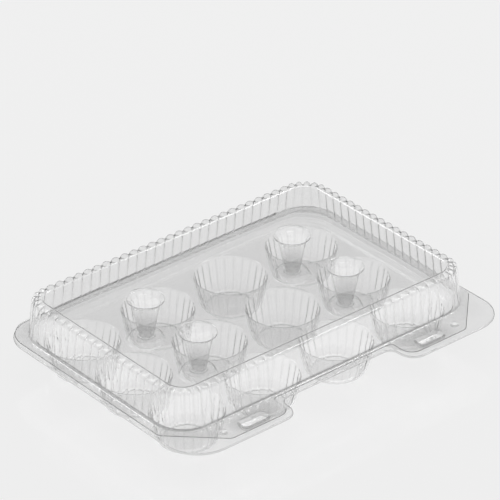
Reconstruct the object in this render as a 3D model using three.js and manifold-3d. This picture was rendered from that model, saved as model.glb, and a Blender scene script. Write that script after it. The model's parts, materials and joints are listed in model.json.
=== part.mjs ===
// Clear clamshell carton with a domed lid: a tray of twelve round cells, a fluted lid that
// stands on it with four hollow posts, and the fold along the back that joins the two.
//
// Millimetres, +Z up. The origin is under the middle of the carton, on the plane that the
// cell floors stand on. +Y is the hinge side, -Y the front, where the lid is lifted.
// The carton is one formed sheet. Each mesh below is one formed region of that sheet.
import * as THREE from 'three';
import { ParametricGeometry } from 'three/addons/geometries/ParametricGeometry.js';
import { mergeVertices } from 'three/addons/utils/BufferGeometryUtils.js';
import Module from 'manifold-3d';

// ---------------------------------------------------------------- driving dimensions
const SHEET = 0.6;          // thickness of the sheet
const GAP = 0.3;            // clearance between neighbouring regions
const ARC_STEPS = 4;        // curve steps in an outline; a quarter turn takes two straight edges for each

const PITCH_X = 80;         // from cell to cell along the carton
const PITCH_Y = 68;         // from row to row
const COLUMNS = 4;
const ROWS = 3;

const FLANGE_Z = 35.2;      // top of the tray's flange
const DECK_Z = 30;          // top of the deck that the cells hang from
const LID_FLANGE_Z = FLANGE_Z + GAP + SHEET;
const LID_Z = 70;           // top of the flat panel of the closed lid
const LID_CROWN = 0.85;     // how far the flutes' heads stand over the panel

const CELL_RIM_R = 32.4;    // outside radius of a cell at the deck
const CELL_FOOT_R = 26;     // outside radius just above the rounded heel
const CELL_FLOOR_R = 19.5;  // radius of the flat floor
const CELL_HEEL = 5;        // height of the rounded heel
const CELL_SIDES = 24;

const TRAY_WELL = { hx: 156, hy: 102.4, r: 27 };     // step from the flange down to the deck
const TRAY_EDGE = { hx: 172.4, r: 32, front: -138.8 };
const TRAY_LIP_Y = -113.8;                           // front edge between the two tabs
const TRAY_TAB = { x: 60.4, corner: 14, fillet: 8 }; // inner side of a tray tab

const LID_TOP = { hx: 148, hy: 93.4, r: 15 };        // flat top panel
const LID_FOOT = { hx: 162, hy: 107.4, r: 29 };      // foot of the lid wall, over the flutes
const LID_EDGE = { hx: 169, r: 28, front: -132.8 };
const LID_LIP_Y = -109.6;
const LID_TAB = { x: 64.5, corner: 11, fillet: 4 };
const LID_CHAMFER = { x: 127.2, y: -92 };            // where the cut front corners begin

const FLUTES = { corner: 5, long: 27, short: 16 };   // flutes on each stretch of the lid wall
const LABEL_HALF = 62;                               // half width of the plain front panel

const POST_X = PITCH_X;                              // posts stand between the cells
const POST_Y = PITCH_Y / 2;
const POST = { tip: 7.6, neck: 12, mouth: 16, flare: 4, sides: 16 };
const SEAT = { foot: 16, crown: 12, dish: 8.4, depth: 1.5 };

const LOCK = { x: 95.6, y: -122.3, hx: 14, hy: 6.5, r: 4, depth: 4.2 };
const DIMPLE = { x: 125.6, y: -120.4, r: 3.6, depth: 1.8, sides: 12 };

const HINGE_Y = 116.4;      // fold line, measured from the middle of the cells
const HINGE_R = 0.5;        // radius of the folded bead
const HINGE_HALF = 132;     // half length of the fold
const HINGE_Z = FLANGE_Z + GAP / 2;
const FLANGE_END_Y = HINGE_Y - HINGE_R - GAP - 0.1;

// ---------------------------------------------------------------- material
function clearSheet(color) {
  return new THREE.MeshStandardMaterial({
    color, roughness: 0.12, metalness: 0, transparent: true, opacity: 0.45,
  });
}

const TRAY_SHEET = clearSheet(0xdfe5e8);
const LID_SHEET = clearSheet(0xe9eef0);

function region(name, geometry, material) {
  const mesh = new THREE.Mesh(geometry, material);
  mesh.name = name;
  return mesh;
}

// ---------------------------------------------------------------- solids and cuts
const wasm = await Module();
wasm.setup();

function toSolid(geometry) {
  const bare = geometry.clone();
  bare.deleteAttribute('normal');
  bare.deleteAttribute('uv');
  const merged = mergeVertices(bare, 1e-3);
  return new wasm.Manifold(new wasm.Mesh({
    numProp: 3,
    vertProperties: new Float32Array(merged.attributes.position.array),
    triVerts: new Uint32Array(merged.index.array),
  }));
}

function toGeometry(solid) {
  const mesh = solid.getMesh();
  const geometry = new THREE.BufferGeometry();
  geometry.setAttribute('position', new THREE.BufferAttribute(mesh.vertProperties, 3));
  geometry.setIndex(new THREE.BufferAttribute(mesh.triVerts, 1));
  return geometry;
}

// ---------------------------------------------------------------- outlines
function roundedRect({ hx, hy, r }, Kind = THREE.Shape, x = 0, y = 0) {
  const outline = new Kind();
  outline.absarc(x + hx - r, y + hy - r, r, 0, Math.PI / 2);
  outline.absarc(x - hx + r, y + hy - r, r, Math.PI / 2, Math.PI);
  outline.absarc(x - hx + r, y - hy + r, r, Math.PI, Math.PI * 1.5);
  outline.absarc(x + hx - r, y - hy + r, r, Math.PI * 1.5, Math.PI * 2);
  outline.closePath();
  return outline;
}

function grown({ hx, hy, r }, by) {
  return { hx: hx + by, hy: hy + by, r: r + by };
}

// A round outline with as many sides as the turned shell that stands in it.
function circle(x, y, r, sides, Kind = THREE.Path) {
  const points = Array.from({ length: sides }, (_, k) => {
    const angle = (k / sides) * Math.PI * 2;
    return new THREE.Vector2(x + r * Math.cos(angle), y + r * Math.sin(angle));
  });
  return new Kind(points);
}

function slab(shape, low, high) {
  const geometry = new THREE.ExtrudeGeometry(shape, {
    depth: high - low, bevelEnabled: false, curveSegments: ARC_STEPS,
  });
  return geometry.translate(0, 0, low);
}

// The front edge from the right tab across to the left tab: each tab ends in a rounded
// corner and runs into the narrow lip between them with a fillet.
function frontEdge(shape, tab, front, lip) {
  const { x, corner, fillet } = tab;
  shape.lineTo(x + corner, front);
  shape.absarc(x + corner, front + corner, corner, Math.PI * 1.5, Math.PI, true);
  shape.absarc(x - fillet, lip - fillet, fillet, 0, Math.PI / 2);
  shape.absarc(-x + fillet, lip - fillet, fillet, Math.PI / 2, Math.PI);
  shape.absarc(-x - corner, front + corner, corner, 0, -Math.PI / 2, true);
}

function trayOutline() {
  const { hx, r, front } = TRAY_EDGE;
  const shape = new THREE.Shape();
  shape.absarc(-hx + r, FLANGE_END_Y - r, r, Math.PI, Math.PI / 2, true);
  shape.absarc(hx - r, FLANGE_END_Y - r, r, Math.PI / 2, 0, true);
  shape.absarc(hx - r, front + r, r, 0, -Math.PI / 2, true);
  frontEdge(shape, TRAY_TAB, front, TRAY_LIP_Y);
  shape.absarc(-hx + r, front + r, r, -Math.PI / 2, -Math.PI, true);
  shape.closePath();
  return shape;
}

function lidOutline() {
  const { hx, r, front } = LID_EDGE;
  const shape = new THREE.Shape();
  shape.absarc(-hx + r, FLANGE_END_Y - r, r, Math.PI, Math.PI / 2, true);
  shape.absarc(hx - r, FLANGE_END_Y - r, r, Math.PI / 2, 0, true);
  shape.lineTo(hx, LID_CHAMFER.y);
  shape.lineTo(LID_CHAMFER.x, front);
  frontEdge(shape, LID_TAB, front, LID_LIP_Y);
  shape.lineTo(-LID_CHAMFER.x, front);
  shape.lineTo(-hx, LID_CHAMFER.y);
  shape.closePath();
  return shape;
}

// ---------------------------------------------------------------- turned shells
// profile is [radius, z] pairs from the axis, out and round, and back to the axis.
function turned(profile, sides) {
  const points = profile.map(([r, z]) => new THREE.Vector2(r, z));
  return new THREE.LatheGeometry(points, sides).rotateX(Math.PI / 2);
}

function cell() {
  const innerFoot = CELL_FOOT_R - SHEET;
  return turned([
    [0, 0],
    [CELL_FLOOR_R, 0],
    [CELL_FLOOR_R + 3.4, CELL_HEEL * 0.3],
    [CELL_FOOT_R, CELL_HEEL],
    [CELL_RIM_R, DECK_Z],
    [CELL_RIM_R - SHEET, DECK_Z],
    [innerFoot, CELL_HEEL],
    [CELL_FLOOR_R + 2.9, CELL_HEEL * 0.3 + SHEET * 0.6],
    [CELL_FLOOR_R - 0.3, SHEET],
    [0, SHEET],
  ], CELL_SIDES);
}

function postSeat() {
  const floor = FLANGE_Z - SEAT.depth;
  return turned([
    [0, floor - SHEET],
    [SEAT.dish - SHEET, floor - SHEET],
    [SEAT.dish - SHEET, FLANGE_Z - SHEET],
    [SEAT.crown - SHEET, FLANGE_Z - SHEET],
    [SEAT.foot - SHEET, DECK_Z + GAP],
    [SEAT.foot, DECK_Z + GAP],
    [SEAT.crown, FLANGE_Z],
    [SEAT.dish, FLANGE_Z],
    [SEAT.dish, floor],
    [0, floor],
  ], POST.sides);
}

function lidPost() {
  const tip = FLANGE_Z - SEAT.depth + GAP;
  const neck = LID_Z - POST.flare;
  return turned([
    [0, tip],
    [POST.tip, tip],
    [POST.neck, neck],
    [POST.mouth, LID_Z],
    [POST.mouth - SHEET, LID_Z],
    [POST.neck - SHEET, neck],
    [POST.tip - SHEET, tip + SHEET],
    [0, tip + SHEET],
  ], POST.sides);
}

// A flat-bottomed cup pressed into the sheet: its mouth is at top.
function pressedCup(outline, top, depth) {
  const outer = toSolid(slab(roundedRect(outline), top - depth, top));
  const inner = toSolid(slab(roundedRect(grown(outline, -SHEET)), top - depth + SHEET, top + 1));
  return outer.subtract(inner);
}

// A flat sheet with a round dimple pressed into each tab.
function dimpled(sheet, top, radius) {
  let solid = toSolid(sheet);
  for (const side of [-1, 1]) {
    const x = side * DIMPLE.x;
    const low = top - SHEET - DIMPLE.depth;
    const round = (r) => circle(x, DIMPLE.y, r, DIMPLE.sides, THREE.Shape);
    const bump = slab(round(radius), low, top);
    const hollow = slab(round(radius - SHEET), low + SHEET, top + 1);
    solid = solid.add(toSolid(bump)).subtract(toSolid(hollow));
  }
  return toGeometry(solid);
}

// ---------------------------------------------------------------- tray
const pocket = { hx: LOCK.hx, hy: LOCK.hy, r: LOCK.r };
const button = grown(pocket, -SHEET - GAP);

function trayFlange() {
  const shape = trayOutline();
  shape.holes.push(roundedRect(grown(TRAY_WELL, GAP), THREE.Path));
  for (const side of [-1, 1]) {
    shape.holes.push(roundedRect(grown(pocket, GAP), THREE.Path, side * LOCK.x, LOCK.y));
  }
  return dimpled(slab(shape, FLANGE_Z - SHEET, FLANGE_Z), FLANGE_Z, DIMPLE.r);
}

function trayStep() {
  const shape = roundedRect(TRAY_WELL);
  shape.holes.push(roundedRect(grown(TRAY_WELL, -SHEET), THREE.Path));
  return slab(shape, DECK_Z - SHEET, FLANGE_Z);
}

const cellX = (column) => (column - (COLUMNS - 1) / 2) * PITCH_X;
const cellY = (row) => (row - (ROWS - 1) / 2) * PITCH_Y;

function trayDeck() {
  const shape = roundedRect(grown(TRAY_WELL, -SHEET - GAP));
  for (let row = 0; row < ROWS; row += 1) {
    for (let column = 0; column < COLUMNS; column += 1) {
      shape.holes.push(circle(cellX(column), cellY(row), CELL_RIM_R + GAP, CELL_SIDES));
    }
  }
  return slab(shape, DECK_Z - SHEET, DECK_Z);
}

function buildTray() {
  const tray = new THREE.Group();
  tray.add(region('tray_flange', trayFlange(), TRAY_SHEET));
  tray.add(region('tray_step_wall', trayStep(), TRAY_SHEET));
  tray.add(region('tray_deck', trayDeck(), TRAY_SHEET));
  const rowNames = ['front', 'middle', 'back'];
  rowNames.forEach((rowName, row) => {
    for (let column = 0; column < COLUMNS; column += 1) {
      const cup = region(`cell_${rowName}_${column + 1}`, cell(), TRAY_SHEET);
      cup.position.set(cellX(column), cellY(row), 0);
      tray.add(cup);
    }
  });
  for (const corner of postCorners()) {
    const seat = region(`post_seat_${corner.name}`, postSeat(), TRAY_SHEET);
    seat.position.set(corner.x, corner.y, 0);
    tray.add(seat);
  }
  for (const side of sides()) {
    const cup = toGeometry(pressedCup(pocket, FLANGE_Z, LOCK.depth));
    const mesh = region(`lock_pocket_${side.name}`, cup, TRAY_SHEET);
    mesh.position.set(side.sign * LOCK.x, LOCK.y, 0);
    tray.add(mesh);
  }
  const bead = new THREE.CylinderGeometry(HINGE_R, HINGE_R, HINGE_HALF * 2, 12);
  const hinge = region('living_hinge', bead.rotateZ(Math.PI / 2), TRAY_SHEET);
  hinge.position.set(0, HINGE_Y, HINGE_Z);
  tray.add(hinge);
  return tray;
}

function sides() {
  return [{ name: 'left', sign: -1 }, { name: 'right', sign: 1 }];
}

function postCorners() {
  return sides().flatMap(({ name, sign }) => [
    { name: `front_${name}`, x: sign * POST_X, y: -POST_Y },
    { name: `back_${name}`, x: sign * POST_X, y: POST_Y },
  ]);
}

// ---------------------------------------------------------------- fluted lid wall
// Points round a rounded rectangle, two to a flute, with the outward direction at each.
function flutePoints({ hx, hy, r }) {
  const points = [];
  const centres = [[hx - r, hy - r], [-hx + r, hy - r], [-hx + r, -hy + r], [hx - r, -hy + r]];
  const straightFlutes = [FLUTES.long, FLUTES.short, FLUTES.long, FLUTES.short];
  centres.forEach(([cx, cy], corner) => {
    const start = corner * Math.PI / 2;
    const steps = FLUTES.corner * 2;
    for (let k = 0; k < steps; k += 1) {
      const angle = start + (k / steps) * Math.PI / 2;
      const out = new THREE.Vector2(Math.cos(angle), Math.sin(angle));
      points.push({ at: new THREE.Vector2(cx, cy).addScaledVector(out, r), out });
    }
    const out = new THREE.Vector2(Math.cos(start + Math.PI / 2), Math.sin(start + Math.PI / 2));
    const from = new THREE.Vector2(cx, cy).addScaledVector(out, r);
    const next = centres[(corner + 1) % 4];
    const to = new THREE.Vector2(next[0], next[1]).addScaledVector(out, r);
    const straight = straightFlutes[corner] * 2;
    for (let k = 0; k < straight; k += 1) {
      points.push({ at: from.clone().lerp(to, k / straight), out });
    }
  });
  return points;
}

// Levels of the wall, up the outside and down the inside, at a distance out from the edge of
// the panel. A flute's crest stands swell out from the valleys beside it, and rise over them.
function wallLevels() {
  const level = (out, z, swell, rise) => ({ ...grown(LID_TOP, out), z, swell, rise });
  const inward = (out, drop) => ({ ...out, ...grown(out, drop - SHEET), z: out.z - drop });
  const foot = level(12.6, LID_FLANGE_Z - SHEET, 1.4, 0);
  const shoulder = level(8.9, LID_Z - 7, 1.9, 0);
  const brow = level(7.6, LID_Z - 1.7, 2, 1.2);
  const crown = level(4, LID_Z - 0.8, 0, 0.8 + LID_CROWN);
  const top = level(GAP, LID_Z, 0, 0);
  return [
    foot, shoulder, brow, crown, top,
    inward(top, SHEET), inward(crown, SHEET), inward(brow, 0.3), inward(shoulder, 0.1),
    inward(foot, 0),
  ];
}

function lidWall() {
  const levels = wallLevels();
  const rings = levels.map(flutePoints);
  const around = rings[0].length;
  const onPanel = (p) => p.y < -LID_TOP.hy && Math.abs(p.x) < LABEL_HALF;
  const surface = (u, v, target) => {
    const k = Math.round(u * around) % around;
    const j = Math.round(v * levels.length) % levels.length;
    const { at, out } = rings[j][k];
    const crest = onPanel(at) || k % 2 === 1 ? 1 : 0;
    const { z, swell, rise } = levels[j];
    target.set(at.x + out.x * swell * crest, at.y + out.y * swell * crest, z + rise * crest);
  };
  return new ParametricGeometry(surface, around, levels.length);
}

// ---------------------------------------------------------------- lid
function lidPanel() {
  const shape = roundedRect(LID_TOP);
  for (const { x, y } of postCorners()) {
    shape.holes.push(circle(x, y, POST.mouth + GAP, POST.sides));
  }
  return slab(shape, LID_Z - SHEET, LID_Z);
}

function lidFlange() {
  const shape = lidOutline();
  shape.holes.push(roundedRect(grown(LID_FOOT, GAP), THREE.Path));
  for (const side of [-1, 1]) {
    shape.holes.push(roundedRect(grown(button, GAP), THREE.Path, side * LOCK.x, LOCK.y));
  }
  const sheet = slab(shape, LID_FLANGE_Z - SHEET, LID_FLANGE_Z);
  return dimpled(sheet, LID_FLANGE_Z, DIMPLE.r - SHEET - GAP);
}

function buildLid() {
  const lid = new THREE.Group();
  lid.add(region('lid_panel', lidPanel(), LID_SHEET));
  lid.add(region('lid_wall', lidWall(), LID_SHEET));
  lid.add(region('lid_flange', lidFlange(), LID_SHEET));
  for (const corner of postCorners()) {
    const post = region(`lid_post_${corner.name}`, lidPost(), LID_SHEET);
    post.position.set(corner.x, corner.y, 0);
    lid.add(post);
  }
  for (const side of sides()) {
    const cup = toGeometry(pressedCup(button, LID_FLANGE_Z, LOCK.depth));
    const mesh = region(`lock_button_${side.name}`, cup, LID_SHEET);
    mesh.position.set(side.sign * LOCK.x, LOCK.y, 0);
    lid.add(mesh);
  }
  return lid;
}

// ---------------------------------------------------------------- carton
const carton = new THREE.Group();
carton.add(buildTray());
carton.add(buildLid());
// The cells are laid out from their own middle: move it so that the footprint is centred.
carton.position.y = -(TRAY_EDGE.front + HINGE_Y + HINGE_R) / 2;

export default carton;
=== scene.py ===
"""Looks of the clear hinged carton, built as two formed sheets and the fold that joins them.

Lengths are millimetres until a mesh is made, and metres from there on. Places come from the
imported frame. Each sheet is made as its upper face, region by region with shared borders, and
then given its thickness, so that it is one continuous piece of plastic as the real one is.
"""
import json
import math

import bpy
import numpy as np
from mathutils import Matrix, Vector, geometry


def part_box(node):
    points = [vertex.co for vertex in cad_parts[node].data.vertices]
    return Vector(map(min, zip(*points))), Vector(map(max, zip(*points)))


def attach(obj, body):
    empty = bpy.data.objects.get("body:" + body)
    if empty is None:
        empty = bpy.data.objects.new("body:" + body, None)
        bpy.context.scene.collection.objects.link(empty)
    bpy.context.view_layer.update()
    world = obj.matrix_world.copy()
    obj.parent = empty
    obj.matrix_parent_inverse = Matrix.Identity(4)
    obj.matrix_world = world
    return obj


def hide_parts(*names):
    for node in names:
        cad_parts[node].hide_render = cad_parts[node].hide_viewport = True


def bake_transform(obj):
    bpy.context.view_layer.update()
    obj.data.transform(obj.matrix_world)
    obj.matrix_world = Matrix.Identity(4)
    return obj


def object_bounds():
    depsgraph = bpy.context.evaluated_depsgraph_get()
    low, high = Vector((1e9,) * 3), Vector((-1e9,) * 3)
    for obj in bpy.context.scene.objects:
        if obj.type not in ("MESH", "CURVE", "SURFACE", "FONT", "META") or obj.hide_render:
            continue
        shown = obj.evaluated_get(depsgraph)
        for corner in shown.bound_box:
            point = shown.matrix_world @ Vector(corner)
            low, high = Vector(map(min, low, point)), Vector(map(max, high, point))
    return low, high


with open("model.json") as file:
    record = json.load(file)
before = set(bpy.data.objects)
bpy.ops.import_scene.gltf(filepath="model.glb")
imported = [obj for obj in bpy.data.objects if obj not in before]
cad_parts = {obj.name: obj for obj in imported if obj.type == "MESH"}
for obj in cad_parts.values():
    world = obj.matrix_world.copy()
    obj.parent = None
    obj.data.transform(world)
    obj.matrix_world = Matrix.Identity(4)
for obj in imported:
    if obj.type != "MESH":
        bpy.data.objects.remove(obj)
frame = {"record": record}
cad_low, cad_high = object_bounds()

MM = 0.001
SHEET = 0.45          # thickness of the formed sheet
STEP = 4.0            # longest straight step along an outline

# Places that the frame's boxes don't give, measured from the middle of the cells.
TRAY_TAB_X, TRAY_LIP = 60.4, 113.8            # inner side of a tray tab, lip between the tabs
LID_TAB_X, LID_LIP = 64.5, 109.6
LID_CUT = (127.2, 92.0)                       # where the cut front corners of the lid begin
DIMPLE_AT = (125.6, -120.4)
LABEL_HALF, LABEL_END = 62, 2.2               # half width of the plain front panel, its round ends

# Corner radii of the outlines, seen from above.
TRAY_R, TRAY_TAB_R, TRAY_LIP_R = 32, 14, 8
LID_R, LID_TAB_R, LID_CUT_R, LID_LIP_R = 28, 11, 7, 4
STEP_R, PANEL_R = 27, 15                      # the well, and the lid's panel

# The lid's lock buttons and dimples nest inside the tray's.
POCKET_WALL, BUTTON_INSET = 0.6, 0.9
POCKET_R, BUTTON_R = 4, 3.1
TRAY_DIMPLE_R, LID_DIMPLE_R, DIMPLE_AROUND = 3.6, 2.7, 24

# Which plastic a face has: the plain one, or one with painted shade darker towards the foot.
PLAIN, FOOT_SHADED = 0, 1

# How much painted shade each fold gets, as a dark line painted along it. 1 is a gentle fold.
EDGE_PAINTED_SHADE, STEP_PAINTED_SHADE, CUP_PAINTED_SHADE, WALL_FOOT_PAINTED_SHADE, CELL_FOOT_PAINTED_SHADE = 2.5, 1, 1.5, 3, 2

# Outlines and profiles, outermost first: (outward offset, depth) or (radius, height).
ROLLED_EDGE = [(-0.02, 1.3), (0.0, 0.85), (-0.12, 0.45), (-0.4, 0.16), (-0.85, 0.02), (-1.3, 0.0),
               (-1.8, 0.0)]
PLAIN_EDGE = [(0.0, 0.35), (-0.05, 0.15), (-0.2, 0.03), (-0.5, 0.0), (-1.0, 0.0)]
STEP_PROFILE = [(1.9, 5.2), (1.5, 5.2), (0.95, 5.08), (0.5, 4.7), (0.15, 4.0), (-0.15, 2.6),
                (-0.4, 1.1), (-0.62, 0.4), (-0.92, 0.06), (-1.1, 0.0), (-1.3, 0.0)]
CUP_PROFILE = [(1.5, 0.0), (1.1, 0.0), (0.65, 0.1), (0.3, 0.4), (0.1, 0.9), (-0.25, 2.9),
               (-0.5, 3.4), (-0.95, 3.7), (-1.4, 3.75)]
DIMPLE = [(1.3, 0.0), (1.15, 0.0), (1.0, 0.12), (0.86, 0.5), (0.72, 1.05), (0.5, 1.45),
          (0.22, 1.6)]
CELL_PROFILE = [                              # radius, height and depth of the flutes
    (33.0, 30.0, 0), (32.6, 30.0, 0), (32.1, 29.93, 0), (31.6, 29.7, 0), (31.15, 29.25, 0),
    (30.85, 28.6, 0.2), (30.7, 27.6, 0.7), (30.4, 25.8, 1.3), (29.8, 22.5, 1.6),
    (28.9, 17.5, 1.7), (27.8, 12.2, 1.7), (26.7, 7.8, 1.6), (25.9, 5.4, 1.4), (24.8, 3.5, 1.2),
    (23.6, 1.7, 1.0), (22.4, 0.75, 0.8), (21.3, 0.47, 0.5), (20.4, 0.6, 0.3), (19.7, 1.05, 0.2),
    (19.1, 1.5, 0.1), (18.5, 1.7, 0), (17.9, 1.72, 0),
]
CELL_FLUTES, CELL_AROUND = 24, 144
CELL_RIM_RINGS = 5                            # profile points on the plain rim above the wall
CELL_MEAN = 0.6                               # part of a flute that lies inside the profile
CELL_FOOT = (20, 22)                          # radii between which the foot ring turns
SEAT_PROFILE = [(17.4, 0.0), (17.0, 0.0), (16.4, 0.12), (15.8, 0.6), (15.1, 1.9), (14.3, 3.5),
                (13.7, 4.5), (13.1, 5.0), (12.4, 5.19), (11.6, 5.2), (8.3, 5.2), (7.7, 5.05),
                (7.25, 4.7), (6.95, 4.2), (6.6, 3.85), (6.0, 3.7), (5.2, 3.7)]
POST_PROFILE = [(17.2, 70.0), (16.8, 70.0), (16.2, 69.88), (15.6, 69.5), (15.0, 68.8),
                (14.2, 67.8), (13.4, 66.8), (12.75, 66.1), (12.25, 65.85), (11.95, 65.3),
                (10.5, 58.0), (9.1, 51.0), (7.7, 43.5), (6.3, 36.6), (6.05, 35.5), (5.6, 34.8),
                (4.9, 34.45), (4.1, 34.45)]
POST_AROUND = 64
POST_MOUTH_RINGS = 8                          # profile points on the mouth above the shaft
DARK_RIMS = {15.6: 2, 6.95: 3, 13.1: 2}       # painted dark rings at the radii where posts and seats turn

# The lid wall from the panel's edge down to the flange: (outward offset, height over the panel).
CREST = [(-0.5, 0), (-0.1, 0), (0.25, 0.14), (0.6, 0.5), (1.0, 0.74), (1.8, 0.82), (3.4, 0.85),
         (5.6, 0.85), (7.4, 0.78), (8.6, 0.45), (9.5, -0.3), (10.1, -1.4), (10.45, -2.9),
         (10.65, -4.7), (10.8, -6.5), (11.4, -12), (12.15, -20), (12.6, -28), (12.8, -30.6),
         (13.05, -31.9), (13.45, -32.9), (13.95, -33.6), (14.7, -33.9)]
VALLEY = [(-0.5, 0), (-0.1, 0), (0.25, 0.14), (0.6, 0.5), (1.0, 0.7), (1.8, 0.6), (3.2, 0.15),
          (4.8, -0.45), (6.2, -1.1), (7.3, -1.85), (8.0, -2.8), (8.4, -4.0), (8.65, -5.3),
          (8.8, -6.7), (9.0, -8), (9.7, -13), (10.7, -21), (11.5, -28.3), (11.9, -30.9),
          (12.3, -32.1), (12.9, -33.05), (13.6, -33.65), (14.7, -33.9)]
WALL_FOOT = (-33.3, -31)                      # heights between which the wall turns outward
LONG_FLUTES, SHORT_FLUTES, CORNER_FLUTES = 27, 16, 5
FLUTE_STEPS = 8
LOBE = 0.8                                    # below 1: round crests and sharp valleys

FOLD_COLUMNS, FOLD_TURNS = 67, 13             # points along the fold and round its bend
FOLD_EASE = 0.05                              # keeps the fold inside the carton's length


# ------------------------------------------------------------------ places from the frame
def corners(node):
    """Lowest and highest corner of a CAD node, in millimetres."""
    low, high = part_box(node)
    return np.array(low) / MM, np.array(high) / MM


def middle(node):
    low, high = corners(node)
    return (low + high)[:2] / 2


def half_size(node):
    low, high = corners(node)
    return (high - low)[:2] / 2


def top_of(node):
    return corners(node)[1][2]


ROWS = ("front", "middle", "back")
SIDES = ("left", "right")
CELLS = [middle(f"cell_{row}_{column}") for row in ROWS for column in range(1, 5)]
SEATS = [middle(f"post_seat_{end}_{side}") for end in ("front", "back") for side in SIDES]
LOCKS = [middle(f"lock_pocket_{side}") for side in SIDES]

MID_Y = CELLS[4][1]                           # middle row of cells
FLANGE_Z = top_of("tray_flange")
DECK_Z = top_of("tray_deck")
LID_FLANGE_Z = top_of("lid_flange")
LID_Z = top_of("lid_panel")
TRAY_LOW, TRAY_HIGH = corners("tray_flange")
LID_LOW, LID_HIGH = corners("lid_flange")
STEP_HALF = half_size("tray_step_wall")
PANEL_HALF = half_size("lid_panel")
LOCK_HALF = half_size("lock_pocket_left") - POCKET_WALL


# ------------------------------------------------------------------ outlines
def arc(cx, cy, r, start, end, convex=True):
    """Points and outward normals along an arc, in degrees, at most STEP apart."""
    steps = max(4, math.ceil(abs(math.radians(end - start)) * r / STEP))
    angles = np.radians(np.linspace(start, end, steps + 1))
    out = np.stack([np.cos(angles), np.sin(angles)], 1)
    return np.array([cx, cy]) + r * out, out if convex else -out


def rounded_polygon(points_and_radii):
    """Outline through the given corners, each rounded to its radius, counter-clockwise."""
    points = [np.array(p[:2], float) for p in points_and_radii]
    radii = [p[2] for p in points_and_radii]
    found, normals = [], []
    for k, (corner, r) in enumerate(zip(points, radii)):
        before = points[k - 1] - corner
        after = points[(k + 1) % len(points)] - corner
        before, after = before / np.linalg.norm(before), after / np.linalg.norm(after)
        half = math.acos(np.clip(before @ after, -1, 1)) / 2
        bisector = (before + after) / np.linalg.norm(before + after)
        centre = corner + bisector * r / math.sin(half)
        turn = -before[0] * after[1] + before[1] * after[0]
        convex = turn > 0
        start = centre_angle(corner + before * r / math.tan(half) - centre)
        end = centre_angle(corner + after * r / math.tan(half) - centre)
        sweep = (end - start + 180) % 360 - 180
        p, n = arc(*centre, r, start, start + sweep, convex)
        found.append(p)
        normals.append(n)
    return with_straights(np.concatenate(found), np.concatenate(normals))


def centre_angle(v):
    return math.degrees(math.atan2(v[1], v[0]))


def with_straights(points, normals):
    """Adds points on every stretch longer than STEP, so that flat faces stay well shaped."""
    found, out = [], []
    for k in range(len(points)):
        a, b = points[k], points[(k + 1) % len(points)]
        na, nb = normals[k], normals[(k + 1) % len(points)]
        steps = max(1, round(np.linalg.norm(b - a) / STEP))
        for s in range(steps):
            t = s / steps
            found.append(a + (b - a) * t)
            mixed = na + (nb - na) * t
            out.append(mixed / np.linalg.norm(mixed))
    return np.array(found), np.array(out)


def rounded_rect(centre, half, r):
    (cx, cy), (hx, hy) = centre, half
    return rounded_polygon([
        (cx + hx, cy - hy, r), (cx + hx, cy + hy, r), (cx - hx, cy + hy, r), (cx - hx, cy - hy, r),
    ])


def circle(centre, r, count):
    angles = np.arange(count) / count * 2 * math.pi
    out = np.stack([np.cos(angles), np.sin(angles)], 1)
    return np.array(centre) + r * out, out


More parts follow.
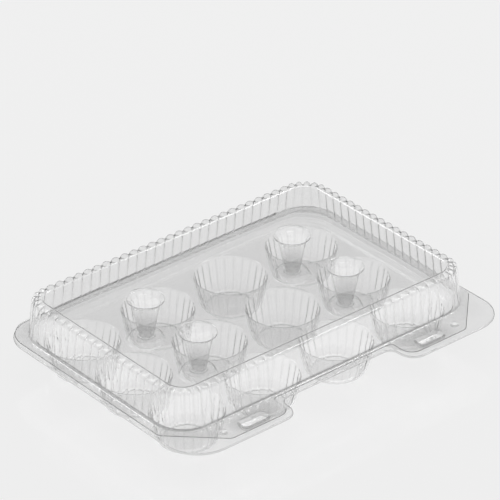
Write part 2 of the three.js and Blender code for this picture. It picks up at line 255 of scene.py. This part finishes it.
# ------------------------------------------------------------------ one formed sheet
class Sheet:
    """The upper face of a formed sheet. Regions that share border points are joined."""

    def __init__(self):
        self.points, self.faces, self.known = [], [], {}
        self.finishes, self.finish = [], PLAIN
        # Painted shade of each point: dark lines along folds, rims and flute valleys.
        self.painted_shades = {}

    def point(self, x, y, z):
        key = (round(x, 3), round(y, 3), round(z, 3))
        if key not in self.known:
            self.known[key] = len(self.points)
            self.points.append((x, y, z))
        return self.known[key]

    def add(self, face):
        self.faces.append(face)
        self.finishes.append(self.finish)

    def ring(self, xy, z, painted_shade=0):
        """Points of a ring. The last argument is painted shade: 0 on smooth sheet, more on folds.
        """
        z, painted_shade = np.broadcast_to(z, len(xy)), np.broadcast_to(painted_shade, len(xy))
        made = [self.point(*p, h) for p, h in zip(xy, z)]
        self.painted_shades.update(zip(made, painted_shade))
        return made

    def band(self, outer, inner):
        """Faces between two closed rings with as many points each, outer ring first."""
        count = len(outer)
        for k in range(count):
            j = (k + 1) % count
            face = [outer[k], outer[j], inner[j], inner[k]]
            kept = [v for i, v in enumerate(face) if v != face[i - 1]]
            if len(kept) > 2:
                self.add(kept)

    def bands(self, rings):
        for outer, inner in zip(rings, rings[1:]):
            self.band(outer, inner)

    def cap(self, ring, z):
        """A flat floor inside a ring."""
        middle_point = np.mean([self.points[v][:2] for v in ring], 0)
        hub = self.point(*middle_point, z)
        for k in range(len(ring)):
            self.add([ring[k], ring[(k + 1) % len(ring)], hub])

    def level(self, z, border, holes):
        """A flat region at height z between a border ring and the rings of its holes."""
        loops = [border, *holes]
        index = [v for loop in loops for v in loop]
        flat = [Vector(self.points[v][:2]) for v in index]
        edges, first = [], 0
        for loop in loops:
            edges += [(first + k, first + (k + 1) % len(loop)) for k in range(len(loop))]
            first += len(loop)
        found = geometry.delaunay_2d_cdt(flat, edges, [], 1, 1e-5)
        places, triangles, sources = found[0], found[2], found[3]
        rings = [np.array([self.points[v][:2] for v in loop]) for loop in loops]
        for triangle in triangles:
            at = sum((places[v] for v in triangle), Vector((0, 0))) / 3
            if sum(inside(at, ring) for ring in rings) == 1:
                self.add([index[sources[v][0]] for v in triangle])

    def mesh(self, name, thickness):
        """The closed mesh of the sheet, thickness measured down from the upper face."""
        points = np.array(self.points)
        normals = area_normals(points, self.faces)
        low = points - normals * thickness
        count = len(points)
        faces = [list(f) for f in self.faces]
        faces += [[v + count for v in reversed(f)] for f in self.faces]
        edges = borders(self.faces)
        faces += [[b, a, a + count, b + count] for a, b in edges]
        mesh = bpy.data.meshes.new(name)
        mesh.from_pydata((np.concatenate([points, low]) * MM).tolist(), [], faces)
        mesh.polygons.foreach_set("use_smooth", [True] * len(mesh.polygons))
        mesh.polygons.foreach_set("material_index", self.finishes * 2 + [PLAIN] * len(edges))
        # Painted shade of each point, for the material to darken the sheet with.
        painted_shades = [float(self.painted_shades.get(v, 0)) for v in range(count)] * 2
        mesh.attributes.new("painted_shade", "FLOAT", "POINT").data.foreach_set("value", painted_shades)
        mark_borders_sharp(mesh, {frozenset(e) for e in edges}, count)
        mesh.update()
        return mesh


def inside(point, ring):
    x, y = point[0], point[1]
    a, b = ring, np.roll(ring, -1, 0)
    crosses = (a[:, 1] > y) != (b[:, 1] > y)
    with np.errstate(divide="ignore", invalid="ignore"):
        at = a[:, 0] + (y - a[:, 1]) * (b[:, 0] - a[:, 0]) / (b[:, 1] - a[:, 1])
    return int(np.sum(crosses & (x < at)) % 2)


def area_normals(points, faces):
    """Vertex normals weighted by area, so that flat levels keep exact normals."""
    normals = np.zeros_like(points)
    for face in faces:
        p = points[face]
        rolled = np.roll(p, -1, 0)
        normals[face] += np.cross(p, rolled).sum(0)
    return normals / np.linalg.norm(normals, axis=1)[:, None]


def borders(faces):
    """Directed edges that only one face uses."""
    edges = {}
    for face in faces:
        for k, v in enumerate(face):
            edges[(v, face[(k + 1) % len(face)])] = True
    return [e for e in edges if (e[1], e[0]) not in edges]


def mark_borders_sharp(mesh, edges, count):
    for edge in mesh.edges:
        a, b = edge.vertices
        if frozenset((a % count, b % count)) in edges or a % count == b % count:
            edge.use_edge_sharp = a // count == b // count


# ------------------------------------------------------------------ shapes of the two sheets
def swept(sheet, outline, normals, profile, painted_shade=0):
    """Rings that follow a closed outline. profile is (outward offset, height) pairs."""
    last = len(profile) - 2
    # Painted shade along every ring but the last two, which lie on the flat.
    return [sheet.ring(outline + normals * offset, z, painted_shade * (k < last))
            for k, (offset, z) in enumerate(profile)]


def turned(sheet, centre, count, profile):
    """Rings of a round shape. profile is (radius, height) pairs, outermost first."""
    # Painted shade: dark rings at the radii listed in DARK_RIMS.
    return [sheet.ring(circle(centre, r, count)[0], z, DARK_RIMS.get(r, 0)) for r, z in profile]


def tray_outline():
    (low_x, low_y, _), (high_x, high_y, _) = TRAY_LOW, TRAY_HIGH
    lip = MID_Y - TRAY_LIP
    return rounded_polygon([
        (TRAY_TAB_X, low_y, TRAY_TAB_R), (high_x, low_y, TRAY_R), (high_x, high_y, TRAY_R),
        (low_x, high_y, TRAY_R), (low_x, low_y, TRAY_R), (-TRAY_TAB_X, low_y, TRAY_TAB_R),
        (-TRAY_TAB_X, lip, TRAY_LIP_R), (TRAY_TAB_X, lip, TRAY_LIP_R),
    ])


def lid_outline():
    (low_x, low_y, _), (high_x, high_y, _) = LID_LOW, LID_HIGH
    lip = MID_Y - LID_LIP
    cut = MID_Y - LID_CUT[1]
    return rounded_polygon([
        (LID_TAB_X, low_y, LID_TAB_R), (LID_CUT[0], low_y, LID_CUT_R), (high_x, cut, LID_CUT_R),
        (high_x, high_y, LID_R), (low_x, high_y, LID_R), (low_x, cut, LID_CUT_R),
        (-LID_CUT[0], low_y, LID_CUT_R), (-LID_TAB_X, low_y, LID_TAB_R),
        (-LID_TAB_X, lip, LID_LIP_R), (LID_TAB_X, lip, LID_LIP_R),
    ])


def cell(sheet, centre):
    """One round cell: a fluted wall from a plain rim to a scalloped floor. Returns its rim."""
    angles = np.arange(CELL_AROUND) / CELL_AROUND * 2 * math.pi
    lobes = np.abs(np.sin(angles * CELL_FLUTES / 2)) ** LOBE - CELL_MEAN
    valleys = np.isclose(lobes, -CELL_MEAN)
    rings = []
    for r, z, depth in CELL_PROFILE:
        reach = r + depth * lobes
        xy = np.stack([np.cos(angles) * reach, np.sin(angles) * reach], 1) + centre
        # Painted shade: dark lines down the flute valleys and a dark ring round the foot.
        foot = CELL_FOOT_PAINTED_SHADE * (CELL_FOOT[0] < r < CELL_FOOT[1])
        rings.append(sheet.ring(xy, z, valleys * min(depth, 1) + foot))
    sheet.finish = FOOT_SHADED
    sheet.bands(rings[CELL_RIM_RINGS:])
    sheet.cap(rings[-1], CELL_PROFILE[-1][1])
    sheet.finish = PLAIN
    sheet.bands(rings[:CELL_RIM_RINGS + 1])
    return rings[0]


def cup(sheet, centre, half, r, top):
    """A lock pocket or button, pressed down into a level."""
    outline, normals = rounded_rect(centre, half, r)
    profile = [(offset, top - depth) for offset, depth in CUP_PROFILE]
    rings = swept(sheet, outline, normals, profile, CUP_PAINTED_SHADE)
    sheet.bands(rings)
    sheet.cap(rings[-1], profile[-1][1])
    return rings[0]


def dimple(sheet, side, r, top):
    """The small round dimple beside a lock, on the left (side -1) or the right (side 1)."""
    centre = (side * DIMPLE_AT[0], MID_Y + DIMPLE_AT[1])
    profile = [(r * share, top - depth) for share, depth in DIMPLE]
    rings = turned(sheet, centre, DIMPLE_AROUND, profile)
    sheet.bands(rings)
    sheet.cap(rings[-1], profile[-1][1])
    return rings[0]


def tray_sheet():
    sheet = Sheet()
    outline, normals = tray_outline()
    rim = swept(sheet, outline, normals, [(o, FLANGE_Z - d) for o, d in ROLLED_EDGE],
                EDGE_PAINTED_SHADE)
    sheet.bands(rim)

    well, out = rounded_rect((0, MID_Y), STEP_HALF, STEP_R)
    step = swept(sheet, well, out, [(o, DECK_Z + h) for o, h in STEP_PROFILE], STEP_PAINTED_SHADE)
    sheet.bands(step)

    flange_holes = [step[0]]
    for centre, side in zip(LOCKS, (-1, 1)):
        flange_holes.append(cup(sheet, centre, LOCK_HALF, POCKET_R, FLANGE_Z))
        flange_holes.append(dimple(sheet, side, TRAY_DIMPLE_R, FLANGE_Z))
    sheet.level(FLANGE_Z, rim[-1], flange_holes)

    deck_holes = [cell(sheet, centre) for centre in CELLS]
    for centre in SEATS:
        rings = turned(sheet, centre, POST_AROUND, [(r, DECK_Z + h) for r, h in SEAT_PROFILE])
        sheet.bands(rings)
        sheet.cap(rings[-1], DECK_Z + SEAT_PROFILE[-1][1])
        deck_holes.append(rings[0])
    sheet.level(DECK_Z, step[-1], deck_holes)
    return sheet


def flute_line():
    """Stations round the lid wall: place on the panel's edge, outward normal and flute depth."""
    hx, hy = PANEL_HALF
    r = PANEL_R
    places, normals, depths = [], [], []
    corner_at = [(hx - r, hy - r), (-hx + r, hy - r), (-hx + r, -hy + r), (hx - r, -hy + r)]
    runs = [LONG_FLUTES, SHORT_FLUTES, LONG_FLUTES, SHORT_FLUTES]
    for k, (cx, cy) in enumerate(corner_at):
        steps = CORNER_FLUTES * FLUTE_STEPS
        for s in range(steps):
            angle = (k + s / steps) * math.pi / 2
            n = np.array([math.cos(angle), math.sin(angle)])
            places.append(np.array([cx, cy]) + n * r)
            normals.append(n)
            depths.append(abs(math.sin(math.pi * s / FLUTE_STEPS)) ** LOBE)
        angle = (k + 1) * math.pi / 2
        n = np.array([round(math.cos(angle)), round(math.sin(angle))], float)
        start = np.array([cx, cy]) + n * r
        stop = np.array(corner_at[(k + 1) % 4]) + n * r
        steps = runs[k] * FLUTE_STEPS
        for s in range(steps):
            place = start + (stop - start) * s / steps
            lobe = abs(math.sin(math.pi * s / FLUTE_STEPS)) ** LOBE
            if k == 2:
                lobe = max(lobe, plain_panel(place[0]))
            places.append(place)
            normals.append(n)
            depths.append(lobe)
    return np.array(places) + (0, MID_Y), np.array(normals), np.array(depths)


def plain_panel(x):
    """1 over the plain front panel, easing to 0 over its two rounded ends."""
    reach = (LABEL_HALF - abs(x)) / LABEL_END
    return math.sqrt(1 - (1 - min(reach, 1)) ** 2) if reach > 0 else 0.0


def lid_sheet():
    sheet = Sheet()
    outline, normals = lid_outline()
    rim = swept(sheet, outline, normals, [(o, LID_FLANGE_Z - d) for o, d in PLAIN_EDGE],
                EDGE_PAINTED_SHADE)
    sheet.bands(rim)

    places, out, depth = flute_line()
    rings = []
    for (crest_n, crest_h), (valley_n, valley_h) in zip(CREST, VALLEY):
        reach = valley_n + (crest_n - valley_n) * depth
        height = valley_h + (crest_h - valley_h) * depth
        # Painted shade: dark lines down the flute valleys and along the wall's foot.
        valley_painted_shade = (depth < 0.01) * (height < -1)
        foot = WALL_FOOT_PAINTED_SHADE * (WALL_FOOT[0] < crest_h < WALL_FOOT[1])
        xy = places + out * reach[:, None]
        rings.append(sheet.ring(xy, LID_Z + height, valley_painted_shade + foot))
    sheet.bands(rings[::-1])

    flange_holes = [rings[-1]]
    for centre, side in zip(LOCKS, (-1, 1)):
        half = LOCK_HALF - BUTTON_INSET
        flange_holes.append(cup(sheet, centre, half, BUTTON_R, LID_FLANGE_Z))
        flange_holes.append(dimple(sheet, side, LID_DIMPLE_R, LID_FLANGE_Z))
    sheet.level(LID_FLANGE_Z, rim[-1], flange_holes)

    mouths = []
    for centre in SEATS:
        post = turned(sheet, centre, POST_AROUND, POST_PROFILE)
        sheet.finish = FOOT_SHADED
        sheet.bands(post[POST_MOUTH_RINGS:])
        sheet.finish = PLAIN
        sheet.bands(post[:POST_MOUTH_RINGS + 1])
        sheet.cap(post[-1], POST_PROFILE[-1][1])
        mouths.append(post[0])
    sheet.level(LID_Z, rings[0], mouths)
    return sheet


def fold_mesh(name):
    """The bent strip of sheet on the fold line, from the tray's back edge round to the lid's."""
    edge, mid_z = TRAY_HIGH[1], (FLANGE_Z + LID_FLANGE_Z - SHEET) / 2
    bend = (LID_FLANGE_Z - FLANGE_Z) / 2
    axis_y = cad_high[1] / MM - bend - SHEET / 2 - FOLD_EASE
    line = [(edge, -90), ((edge + axis_y) / 2, -90)]
    line += [(axis_y, angle) for angle in np.linspace(-90, 90, FOLD_TURNS)]
    line += [((edge + axis_y) / 2, 90), (edge, 90)]
    section = []
    for reach, stations in ((bend + SHEET / 2, line), (bend - SHEET / 2, line[::-1])):
        for y, angle in stations:
            a = math.radians(angle)
            section.append((y + reach * math.cos(a), mid_z + reach * math.sin(a)))
    half = half_size("living_hinge")[0]
    columns = FOLD_COLUMNS
    points = [(x, y, z) for x in np.linspace(-half, half, columns) for y, z in section]
    count = len(section)
    faces = []
    for c in range(columns - 1):
        for k in range(count):
            j = (k + 1) % count
            faces.append([c * count + k, c * count + j, (c + 1) * count + j, (c + 1) * count + k])
    half_way = count // 2
    for k in range(half_way - 1):
        near = [k, k + 1, count - 2 - k, count - 1 - k]
        faces.append(near[::-1])
        faces.append([(columns - 1) * count + v for v in near])
    mesh = bpy.data.meshes.new(name)
    mesh.from_pydata((np.array(points) * MM).tolist(), [], faces)
    mesh.polygons.foreach_set("use_smooth", [True] * len(mesh.polygons))
    mesh.update()
    return mesh


# ------------------------------------------------------------------ materials
PAINTED_SHADE_TINT = -0.07                           # painted shade: change of tone for each unit of it


def node(tree, kind, inputs=None, **settings):
    made = tree.nodes.new(kind)
    for key, value in settings.items():
        setattr(made, key, value)
    for key, value in (inputs or {}).items():
        made.inputs[key].default_value = value
    return made


def clear_plastic(name, seed, foot_shade_tones=((0, 1.0), (70, 1.0))):
    """Clear formed PET: glassy, with the faint waves and uneven gloss that forming leaves.

    The last argument holds two (height, tone) pairs: painted shade, darker towards the foot of
    cells and posts. Plain sheet gets none. Dark lines along folds, rims and flute valleys are
    painted shade as well, read from the sheet's point attribute.
    """
    material = bpy.data.materials.new(name)
    material.use_nodes = True
    tree = material.node_tree
    tree.nodes.clear()
    link = tree.links.new
    place = node(tree, "ShaderNodeTexCoord")
    waves = node(tree, "ShaderNodeTexNoise", {"Scale": 16.0, "Detail": 2.0, "W": seed},
                 noise_dimensions="4D")
    grain = node(tree, "ShaderNodeTexNoise", {"Scale": 900.0, "Detail": 3.0, "W": seed},
                 noise_dimensions="4D")
    link(place.outputs["Object"], waves.inputs["Vector"])
    link(place.outputs["Object"], grain.inputs["Vector"])

    # Painted shade: darker towards the foot of cells and posts.
    (low, dark), (high, light) = foot_shade_tones
    axes = node(tree, "ShaderNodeSeparateXYZ")
    link(place.outputs["Object"], axes.inputs["Vector"])
    foot_shade = node(tree, "ShaderNodeMapRange", {"From Min": low * MM, "From Max": high * MM,
                                              "To Min": dark, "To Max": light},
                 interpolation_type="SMOOTHSTEP")
    link(axes.outputs["Z"], foot_shade.inputs["Value"])
    # Painted shade: dark lines along folds, rims and flute valleys, from the sheet's point
    # attribute.
    painted_shade = node(tree, "ShaderNodeAttribute", attribute_name="painted_shade")
    fold = node(tree, "ShaderNodeMath", {1: PAINTED_SHADE_TINT}, operation="MULTIPLY")
    link(painted_shade.outputs["Fac"], fold.inputs[0])
    drift = node(tree, "ShaderNodeMapRange", {"From Min": 0.3, "From Max": 0.7,
                                              "To Min": -0.008, "To Max": 0.008})
    link(waves.outputs["Fac"], drift.inputs["Value"])
    uneven = node(tree, "ShaderNodeMath", operation="ADD")
    link(foot_shade.outputs["Result"], uneven.inputs[0])
    link(drift.outputs["Result"], uneven.inputs[1])
    tint = node(tree, "ShaderNodeMath", operation="ADD", use_clamp=True)
    link(uneven.outputs["Value"], tint.inputs[0])
    link(fold.outputs["Value"], tint.inputs[1])

    gloss = node(tree, "ShaderNodeMapRange", {"To Min": 0.015, "To Max": 0.05})
    link(grain.outputs["Fac"], gloss.inputs["Value"])
    bump = node(tree, "ShaderNodeBump", {"Strength": 0.35, "Distance": 0.0006})
    link(waves.outputs["Fac"], bump.inputs["Height"])

    plastic = node(tree, "ShaderNodeBsdfPrincipled",
                   {"Transmission Weight": 1.0, "IOR": 1.57})
    link(tint.outputs["Value"], plastic.inputs["Base Color"])
    link(gloss.outputs["Result"], plastic.inputs["Roughness"])
    link(bump.outputs["Normal"], plastic.inputs["Normal"])

    # Light passes the thin sheet on its way to the floor, as it does the real one.
    path = node(tree, "ShaderNodeLightPath")
    clear = node(tree, "ShaderNodeBsdfTransparent", {"Color": (0.99, 0.99, 0.99, 1)})
    mix = node(tree, "ShaderNodeMixShader")
    out = node(tree, "ShaderNodeOutputMaterial")
    link(path.outputs["Is Shadow Ray"], mix.inputs["Fac"])
    link(plastic.outputs["BSDF"], mix.inputs[1])
    link(clear.outputs["BSDF"], mix.inputs[2])
    link(mix.outputs["Shader"], out.inputs["Surface"])
    return material


# ------------------------------------------------------------------ the carton
def piece(name, mesh, materials):
    made = bpy.data.objects.new(name, mesh)
    bpy.context.scene.collection.objects.link(made)
    for material in materials:
        mesh.materials.append(material)
    return made


TRAY_SEED, LID_SEED = 1.7, 6.2
tray_plastic = clear_plastic("clear_tray_plastic", TRAY_SEED)
# The cell and post plastics carry painted shade, darker towards their foot.
cell_plastic = clear_plastic("cell_plastic_painted_foot_shade", TRAY_SEED, ((0.5, 0.95), (5, 1.0)))
lid_plastic = clear_plastic("clear_lid_plastic", LID_SEED)
post_plastic = clear_plastic("post_plastic_painted_foot_shade", LID_SEED, ((36, 0.8), (60, 1.0)))

bodies = frame["record"]["behaviour"]["bodies"]

tray = piece("tray_sheet", tray_sheet().mesh("tray_sheet", SHEET),
             (tray_plastic, cell_plastic))
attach(tray, "tray")
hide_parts(*[n for n in bodies["tray"] if n != "living_hinge"])

lid = piece("lid_sheet", lid_sheet().mesh("lid_sheet", SHEET),
            (lid_plastic, post_plastic))
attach(lid, "lid")
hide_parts(*bodies["lid"])

fold = piece("hinge_fold", fold_mesh("hinge_fold"), (tray_plastic,))
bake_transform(fold)
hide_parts("living_hinge")


# ------------------------------------------------------------------ studio
AZIMUTH, ELEVATION = math.radians(-40.3), math.radians(30.6)
back = Vector((math.sin(AZIMUTH) * math.cos(ELEVATION),
               -math.cos(AZIMUTH) * math.cos(ELEVATION), math.sin(ELEVATION)))
target = Vector((0.0741, 0.0825 + MID_Y * MM, FLANGE_Z * MM + 0.0003))
CAMERA_DISTANCE, FOCAL, SENSOR = 3.115, 260.06, 36
GLOW, MATT, SHEEN = 0.78, 0.17, 0.09          # how much the floor glows, scatters and mirrors
FLOOR_GAP = 0.0004                            # the floor lies just under the cells' feet
FLOOR_HALF = 9
LAMP_DISTANCE = 2.2
WORLD_TONE = 0.17
BOUNCES = 40                                  # many sheets of plastic stand behind each other


def floor_material():
    """A plain pale floor with the same even glow all over, as a light table has."""
    material = bpy.data.materials.new("pale_floor")
    material.use_nodes = True
    tree = material.node_tree
    tree.nodes.clear()
    link = tree.links.new
    glow = node(tree, "ShaderNodeEmission", {"Strength": GLOW})
    matt = node(tree, "ShaderNodeBsdfDiffuse", {"Color": (MATT, MATT, MATT, 1), "Roughness": 1.0})
    sheen = node(tree, "ShaderNodeBsdfAnisotropic", {"Color": (SHEEN, SHEEN, SHEEN, 1),
                                                     "Roughness": 0.08})
    both, all_three = node(tree, "ShaderNodeAddShader"), node(tree, "ShaderNodeAddShader")
    link(glow.outputs["Emission"], both.inputs[0])
    link(matt.outputs["BSDF"], both.inputs[1])
    link(both.outputs["Shader"], all_three.inputs[0])
    link(sheen.outputs["BSDF"], all_three.inputs[1])
    out = node(tree, "ShaderNodeOutputMaterial")
    link(all_three.outputs["Shader"], out.inputs["Surface"])
    return material


quarters = ((-1, -1), (1, -1), (1, 1), (-1, 1))
floor_mesh = bpy.data.meshes.new("floor")
floor_corners = [(x * FLOOR_HALF, y * FLOOR_HALF, 0) for x, y in quarters]
floor_mesh.from_pydata(floor_corners, [], [(0, 1, 2, 3)])
floor = bpy.data.objects.new("floor", floor_mesh)
bpy.context.scene.collection.objects.link(floor)
floor.location.z = -FLOOR_GAP
floor_mesh.materials.append(floor_material())


def softbox(name, direction, size, power):
    """A rectangular lamp in that direction from the carton, facing it."""
    light = bpy.data.lights.new(name, "AREA")
    light.shape, light.size, light.size_y, light.energy = "RECTANGLE", size[0], size[1], power
    lamp = bpy.data.objects.new(name, light)
    lamp.location = Vector(direction).normalized() * LAMP_DISTANCE
    lamp.rotation_euler = Vector(direction).to_track_quat("Z", "Y").to_euler()
    lamp.visible_camera = False
    bpy.context.scene.collection.objects.link(lamp)


softbox("overhead_softbox", (0.1, -0.1, 1), (1.6, 1.6), 12)
softbox("back_softbox", (-0.14, 0.66, 0.74), (0.8, 0.5), 4)
softbox("right_softbox", (0.6, -0.1, 0.8), (0.5, 0.5), 4)

world = bpy.data.worlds.new("studio")
bpy.context.scene.world = world
world.use_nodes = True
background = world.node_tree.nodes["Background"]
background.inputs["Color"].default_value = (WORLD_TONE, WORLD_TONE, WORLD_TONE, 1)

lens = bpy.data.cameras.new("camera")
lens.lens, lens.sensor_width = FOCAL, SENSOR
camera = bpy.data.objects.new("camera", lens)
camera.location = target + back * CAMERA_DISTANCE
camera.rotation_euler = back.to_track_quat("Z", "Y").to_euler()
bpy.context.scene.collection.objects.link(camera)
bpy.context.scene.camera = camera

bpy.context.scene.view_settings.view_transform = "Standard"
bpy.context.scene.cycles.caustics_reflective = False
bpy.context.scene.cycles.caustics_refractive = False
bpy.context.scene.cycles.max_bounces = BOUNCES
bpy.context.scene.cycles.transmission_bounces = BOUNCES
bpy.context.scene.cycles.transparent_max_bounces = BOUNCES
